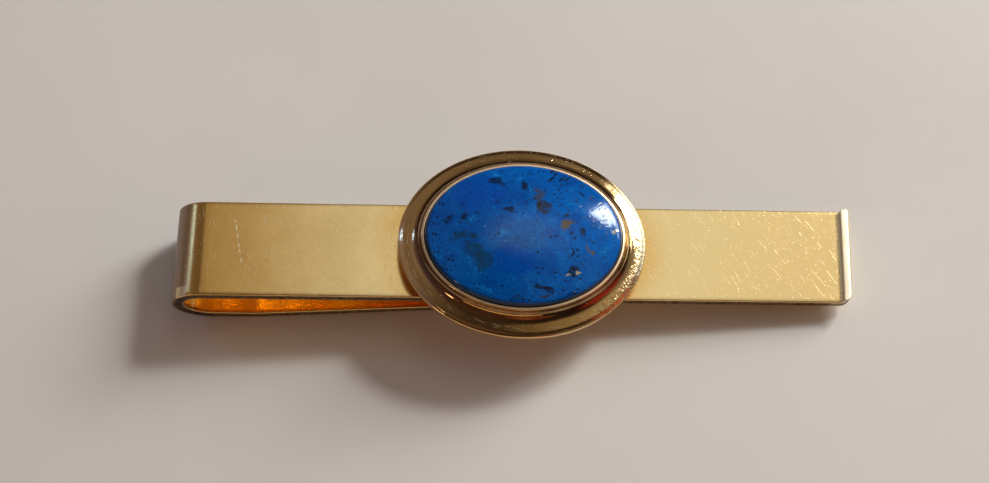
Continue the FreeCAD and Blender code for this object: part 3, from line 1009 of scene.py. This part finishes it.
# %% Flecks listed one by one
FLECKS = [
    # (right, up, half-width, half-depth, turn, kind)
    (-0.05, -0.06, 0.42, 0.26, -0.2, "milk"), (-0.12, -0.46, 0.27, 0.25, 0.1, "deep"),
    (-0.45, 0.55, 0.30, 0.30, 0.3, "deep"),
    (-0.28, 0.71, 0.10, 0.07, 0.2, "dark"), (0.00, 0.64, 0.06, 0.07, 0.0, "dark"),
    (0.16, 0.51, 0.06, 0.09, 0.3, "grey"), (0.19, 0.36, 0.07, 0.12, -0.3, "brown"),
    (-0.17, 0.31, 0.09, 0.05, 0.1, "dark"), (0.61, 0.55, 0.04, 0.05, 0.0, "dark"),
    (0.43, 0.09, 0.06, 0.08, 0.5, "gold"), (0.60, 0.00, 0.03, 0.05, 0.0, "dark"),
    (-0.66, -0.06, 0.08, 0.05, 0.1, "green"), (-0.52, -0.06, 0.07, 0.06, 0.2, "green"),
    (-0.50, -0.26, 0.14, 0.12, 0.4, "green"), (-0.42, -0.42, 0.12, 0.14, 0.5, "green"),
    (0.17, -0.78, 0.13, 0.045, 0.08, "dark"), (0.19, -0.87, 0.07, 0.025, -0.5, "brown"),
    (0.65, -0.26, 0.02, 0.09, -0.2, "gold"), (0.46, -0.30, 0.02, 0.07, -0.3, "dark"),
    (0.48, -0.55, 0.09, 0.08, 0.3, "dark"), (0.44, -0.59, 0.025, 0.025, 0.3, "spark"),
    (0.53, -0.57, 0.03, 0.02, 0.5, "spark"), (0.93, 0.03, 0.04, 0.03, 0.3, "spark"),
    (-0.06, -0.90, 0.05, 0.03, 0.1, "green"),
    (-0.76, 0.14, 0.04, 0.07, 0.3, "dark"), (-0.60, 0.22, 0.05, 0.06, 0.1, "dark"),
]
FLECK_COLOURS = {
    "dark": (0.004, 0.010, 0.022, 1), "grey": (0.05, 0.06, 0.09, 1), "brown": (0.030, 0.030, 0.034, 1),
    "gold": (0.13, 0.10, 0.035, 1), "green": (0.008, 0.040, 0.055, 1), "spark": (0.75, 0.72, 0.62, 1),
    "deep": (0.0, 0.060, 0.42, 1), "milk": (0.050, 0.160, 0.36, 1),
}
FLECK_STRENGTH = {"green": 0.75, "deep": 0.55, "milk": 0.24}
SOLID_STRENGTH = 0.95
SOFT_KINDS = ("deep", "milk")
LAPIS_DEEP = (0.0, 0.074, 0.36, 1)
LAPIS_MID = (0.0, 0.142, 0.58, 1)
LAPIS_DARK = (0.0, 0.03, 0.15, 1)
LAPIS_PALE = (0.010, 0.28, 0.78, 1)
LAPIS_SHADE = (0.0, 0.05, 0.30, 1)
GIRDLE_SHADOW = (0.0, 0.005, 0.025, 1)

fleck, bench, given = new_group("fleck", {"Place": None, "Centre": None, "Reach": None, "Turn": 0.0})
turned = bench.node("VectorRotate", rotation_type="Z_AXIS")
bench.feed(turned.inputs["Vector"], bench.vector("SUBTRACT", given["Place"], given["Centre"]))
bench.feed(turned.inputs["Angle"], given["Turn"])
spread = bench.vector("LENGTH", bench.vector("DIVIDE", turned.outputs[0], given["Reach"]))
close_group(bench, bench.fall(spread, 0.55, 1.1))


# %% Lapis for the stone
def lapis_body(bench, spot, right, wobble, fine):
    """The rock's blue, paler on the right, with pale veins, dark shades and mixed grains."""
    broad = bench.use(clouds, Place=spot, Size=3.5)
    brighter = bench.plus(bench.times(broad, 0.5), bench.step(right, -1.0, 0.7, 0.0, 0.5))
    vein_place = bench.vector("ADD", spot, bench.scaled(wobble, 1.5))
    veins = bench.step(bench.noise(vein_place, 1.3, 5.0, 0.65), 0.54, 0.72)
    grain = bench.noise(spot, 0.16, 3.0, 0.6)
    shade = bench.step(bench.noise(spot, 1.9, 3.0), 0.50, 0.60)
    layers = [(bench.times(veins, 0.72), LAPIS_PALE), (bench.times(fine, 0.45), LAPIS_DEEP),
              (bench.step(grain, 0.52, 0.72, 0.0, 0.22), LAPIS_PALE),
              (bench.step(grain, 0.28, 0.48, 0.48, 0.0), LAPIS_DARK), (bench.times(shade, 0.45), LAPIS_SHADE)]
    return bench.lay(bench.mix(brighter, LAPIS_DEEP, LAPIS_MID), layers)


def dark_dots(bench, spot):
    """Tiny dark grains, thicker in some patches than in others."""
    dots = bench.use(pits, Place=spot, Spacing=0.50, Size=0.13, Share=0.55)
    small_dots = bench.use(pits, Place=spot, Spacing=0.28, Size=0.060, Share=0.50)
    patches = bench.step(bench.noise(spot, 2.0, 2.0), 0.36, 0.54, 0.55, 1.0)
    return bench.times(bench.most(dots, small_dots), patches)


def add_flecks(bench, spot, ragged, blue):
    """Lays the flecks over the blue, and gives the new colour and where it shines like metal."""
    broken = bench.step(bench.noise(spot, 0.16, 4.0, 0.65), 0.38, 0.48)
    sparks = bench.use(pits, Place=spot, Spacing=0.9, Size=0.05, Share=0.08)
    for across, up, half_width, half_depth, turn, kind in FLECKS:
        shape = bench.use(fleck, Place=ragged, Centre=(across, up, 0.0),
                          Reach=(half_width, half_depth, 1.0), Turn=turn)
        if kind not in SOFT_KINDS:
            shape = bench.times(shape, broken)
        strength = FLECK_STRENGTH.get(kind, SOLID_STRENGTH)
        blue = bench.mix(bench.times(shape, strength), blue, FLECK_COLOURS[kind])
        if kind == "spark":
            sparks = bench.most(sparks, shape)
    return bench.mix(bench.times(sparks, 0.7), blue, FLECK_COLOURS["spark"]), sparks


def lapis(name):
    material, bench, shader = new_material(name)
    spot = bench.place_mm()
    centre = (SETTING_X / MM, SETTING_Y / MM, 0.0)
    stretch = (MM / stone_half_x, MM / stone_half_y, 0.0)
    flat = bench.vector("MULTIPLY", bench.vector("SUBTRACT", spot, centre), stretch)
    shake = bench.node("TexNoise")
    bench.feed(shake.inputs["Vector"], bench.scaled(flat, 9.0))
    shake.inputs["Detail"].default_value = 3.0
    shake.inputs["Scale"].default_value = 1.0
    wobble = bench.vector("SUBTRACT", shake.outputs["Color"], (0.5, 0.5, 0.5))
    ragged = bench.vector("ADD", flat, bench.vector("MULTIPLY", wobble, (0.20, 0.24, 0.0)))
    right, height = bench.split(flat)[0], bench.split(spot)[2]
    fine = bench.use(clouds, Place=spot, Size=0.6)
    dots = dark_dots(bench, spot)

    blue = lapis_body(bench, spot, right, wobble, fine)
    blue = bench.mix(bench.times(dots, 0.9), blue, FLECK_COLOURS["dark"])
    blue, sparks = add_flecks(bench, spot, ragged, blue)
    girdle = bench.fall(height, edge_z / MM + 0.25, edge_z / MM + 0.52)
    blue = bench.mix(bench.times(girdle, 0.95), blue, GIRDLE_SHADOW)
    bench.feed(shader.inputs["Base Color"], blue)
    bench.feed(shader.inputs["Metallic"], bench.times(sparks, 0.8))
    rough = bench.plus(0.07, bench.times(dots, 0.10), bench.times(fine, 0.03))
    bench.feed(shader.inputs["Roughness"], rough)
    shader.inputs["IOR"].default_value = 1.42
    shader.inputs["Specular Tint"].default_value = (0.75, 0.88, 1.0, 1)
    bench.bumps(shader, bench.sum("SUBTRACT", bench.times(fine, 0.15), dots), 0.12, 0.02)
    return material


blue_rock = lapis("lapis")
give(stone, blue_rock)
print("lapis has", len(blue_rock.node_tree.nodes), "nodes and", len(FLECKS), "placed flecks")

# %% [markdown]
# ## Floor, lights and camera
#
# The tie bar lies on its elbow and its flared tip, so the floor leans a little to meet both.

# %% The floor
FLOOR_REACH = 600 * MM
FLOOR_GAP = 0.05 * MM
lean = math.atan2(lower[-1].y, lower[-1].x - ELBOW_X)
floor_corners = []
for x, y in ((-1, -1), (1, -1), (1, 1), (-1, 1)):
    across = x * FLOOR_REACH
    floor_corners.append((across, y * FLOOR_REACH, (across - ELBOW_X) * math.tan(lean) - FLOOR_GAP))
floor_mesh = bpy.data.meshes.new("floor")
floor_mesh.from_pydata(floor_corners, [], [(0, 1, 2, 3)])
floor = bpy.data.objects.new("floor", floor_mesh)
bpy.context.scene.collection.objects.link(floor)
pale, bench, shader = new_material("pale floor")
spot = bench.place_mm()
colour = bench.mix(bench.use(clouds, Place=spot, Size=40.0), (0.76, 0.75, 0.73, 1), (0.80, 0.79, 0.77, 1))
bench.feed(shader.inputs["Base Color"], colour)
grain = bench.use(clouds, Place=spot, Size=2.0)
bench.feed(shader.inputs["Roughness"], bench.step(grain, 0.0, 1.0, 0.75, 0.85))
give(floor, pale)

# %% [markdown]
# ### Lights
#
# Polished gold shows its surroundings more than itself, so it's lit as a jeweller shows it:
# one large soft window and a dark room. The dark gives the gold its depth, and the window
# gives it one clean bright side. A narrow blue pane and a small warm lamp put two sharp
# lights in the cove. The room's dim glow is part of the world shader, in soft spots that
# have no edges to be seen in the metal.

# %% Area lights
def direction(turn, height):
    """A direction from degrees round from +X and degrees above the floor."""
    turn, height = math.radians(turn), math.radians(height)
    return Vector((math.cos(height) * math.cos(turn), math.cos(height) * math.sin(turn), math.sin(height)))


light_target = Vector((SETTING_X, BAR_Y, FACE_Z))


def softbox(name, towards, width, height, glow, colour, distance=500 * MM):
    """A soft rectangular light with its width and height in degrees, aimed at the object."""
    light = bpy.data.lights.new(name, "AREA")
    light.shape = "RECTANGLE"
    light.size = 2 * distance * math.tan(math.radians(width / 2))
    light.size_y = 2 * distance * math.tan(math.radians(height / 2))
    light.energy = glow * math.pi * light.size * light.size_y
    light.color = colour
    lamp = bpy.data.objects.new(name, light)
    bpy.context.scene.collection.objects.link(lamp)
    lamp.location = light_target + towards * distance
    lamp.rotation_euler = (-towards).to_track_quat("-Z", "Y").to_euler()
    print(name, "at", [round(side / MM) for side in lamp.location], "mm")


softbox("window", direction(40, 34), 20, 26, 12.0, (1.0, 0.98, 0.94))
softbox("window sill", direction(30, 20), 24, 18, 2.2, (1.0, 0.97, 0.90))
softbox("sun patch", direction(46, 45), 9, 8, 36.0, (1.0, 0.98, 0.94))
softbox("left pane", direction(152, 31), 5, 12, 5.5, (0.24, 0.46, 1.0))
softbox("warm lamp", direction(-137, 30), 6, 6, 10.0, (1.0, 0.80, 0.60))
softbox("front glow", direction(-100, 8), 50, 9, 1.6, (1.0, 0.66, 0.30))

# %% The room's dim glow
world = bpy.data.worlds.new("dim room")
bpy.context.scene.world = world
world.use_nodes = True
bench = Bench(world.node_tree)
way = bench.node("TexCoord").outputs["Generated"]
ROOM_STRENGTH = 2.0
glow = (0.018, 0.012, 0.009, 1)
room_spots = [
    # (turn, height, full within, none beyond, colour)
    (71, 68, 6, 17, (0.31, 0.30, 0.27, 1)),
    (60, 60, 8, 30, (0.05, 0.045, 0.035, 1)),
    (15, 45, 10, 35, (0.09, 0.085, 0.07, 1)),
    (90, 38, 8, 28, (0.03, 0.025, 0.018, 1)),
    (150, 45, 10, 45, (0.07, 0.055, 0.04, 1)),
    (-20, 68, 6, 22, (0.09, 0.07, 0.04, 1)),
    (-28, 25, 9, 23, (0.26, 0.025, 0.012, 1)),
    (180, 20, 10, 50, (0.030, 0.026, 0.045, 1)),
    (-120, 20, 10, 45, (0.05, 0.025, 0.012, 1)),
    (-80, 30, 6, 16, (0.16, 0.05, 0.02, 1)),
]
for turn, height, inner, outer, colour in room_spots:
    closeness = bench.vector("DOT_PRODUCT", way, direction(turn, height))
    share = bench.step(closeness, math.cos(math.radians(outer)), math.cos(math.radians(inner)))
    glow = bench.mix(share, glow, colour, "ADD")
background = world.node_tree.nodes["Background"]
bench.feed(background.inputs["Color"], glow)
background.inputs["Strength"].default_value = ROOM_STRENGTH
print("the room has", len(room_spots), "soft spots")

# %% [markdown]
# ### Camera
#
# The camera stands almost over the object, a little in front of it and to its left.

# %% The camera
VIEW_LEAN = math.radians(21.2)
VIEW_SWING = math.radians(3.87)
VIEW_ROLL = math.radians(-0.66)
VIEW_DISTANCE = 148.66 * MM
VIEW_SLIDE = (-1.75 * MM, 0.86 * MM)
LENS = 66.54
camera_data = bpy.data.cameras.new("camera")
camera_data.lens = LENS
camera_data.clip_start = 1 * MM
camera_data.clip_end = 5.0
camera = bpy.data.objects.new("camera", camera_data)
bpy.context.scene.collection.objects.link(camera)
bpy.context.scene.camera = camera
back = Vector((-math.sin(VIEW_SWING), -math.sin(VIEW_LEAN) * math.cos(VIEW_SWING),
               math.cos(VIEW_LEAN) * math.cos(VIEW_SWING)))
level = Vector((0, 1, 0)).cross(back).normalized()
upright = back.cross(level)
right = level * math.cos(VIEW_ROLL) + upright * math.sin(VIEW_ROLL)
up = upright * math.cos(VIEW_ROLL) - level * math.sin(VIEW_ROLL)
bar_middle = Vector(((LEFT_X + RIGHT_X) / 2, BAR_Y, FACE_Z))
eye = bar_middle + back * VIEW_DISTANCE + right * VIEW_SLIDE[0] + up * VIEW_SLIDE[1]
camera.matrix_world = Matrix.Translation(eye) @ Matrix((right, up, back)).transposed().to_4x4()
bpy.context.scene.view_settings.view_transform = "Standard"
bpy.context.scene.cycles.max_bounces = 16
bpy.context.scene.cycles.glossy_bounces = 12
print("camera at", [round(side / MM, 1) for side in eye], "mm")
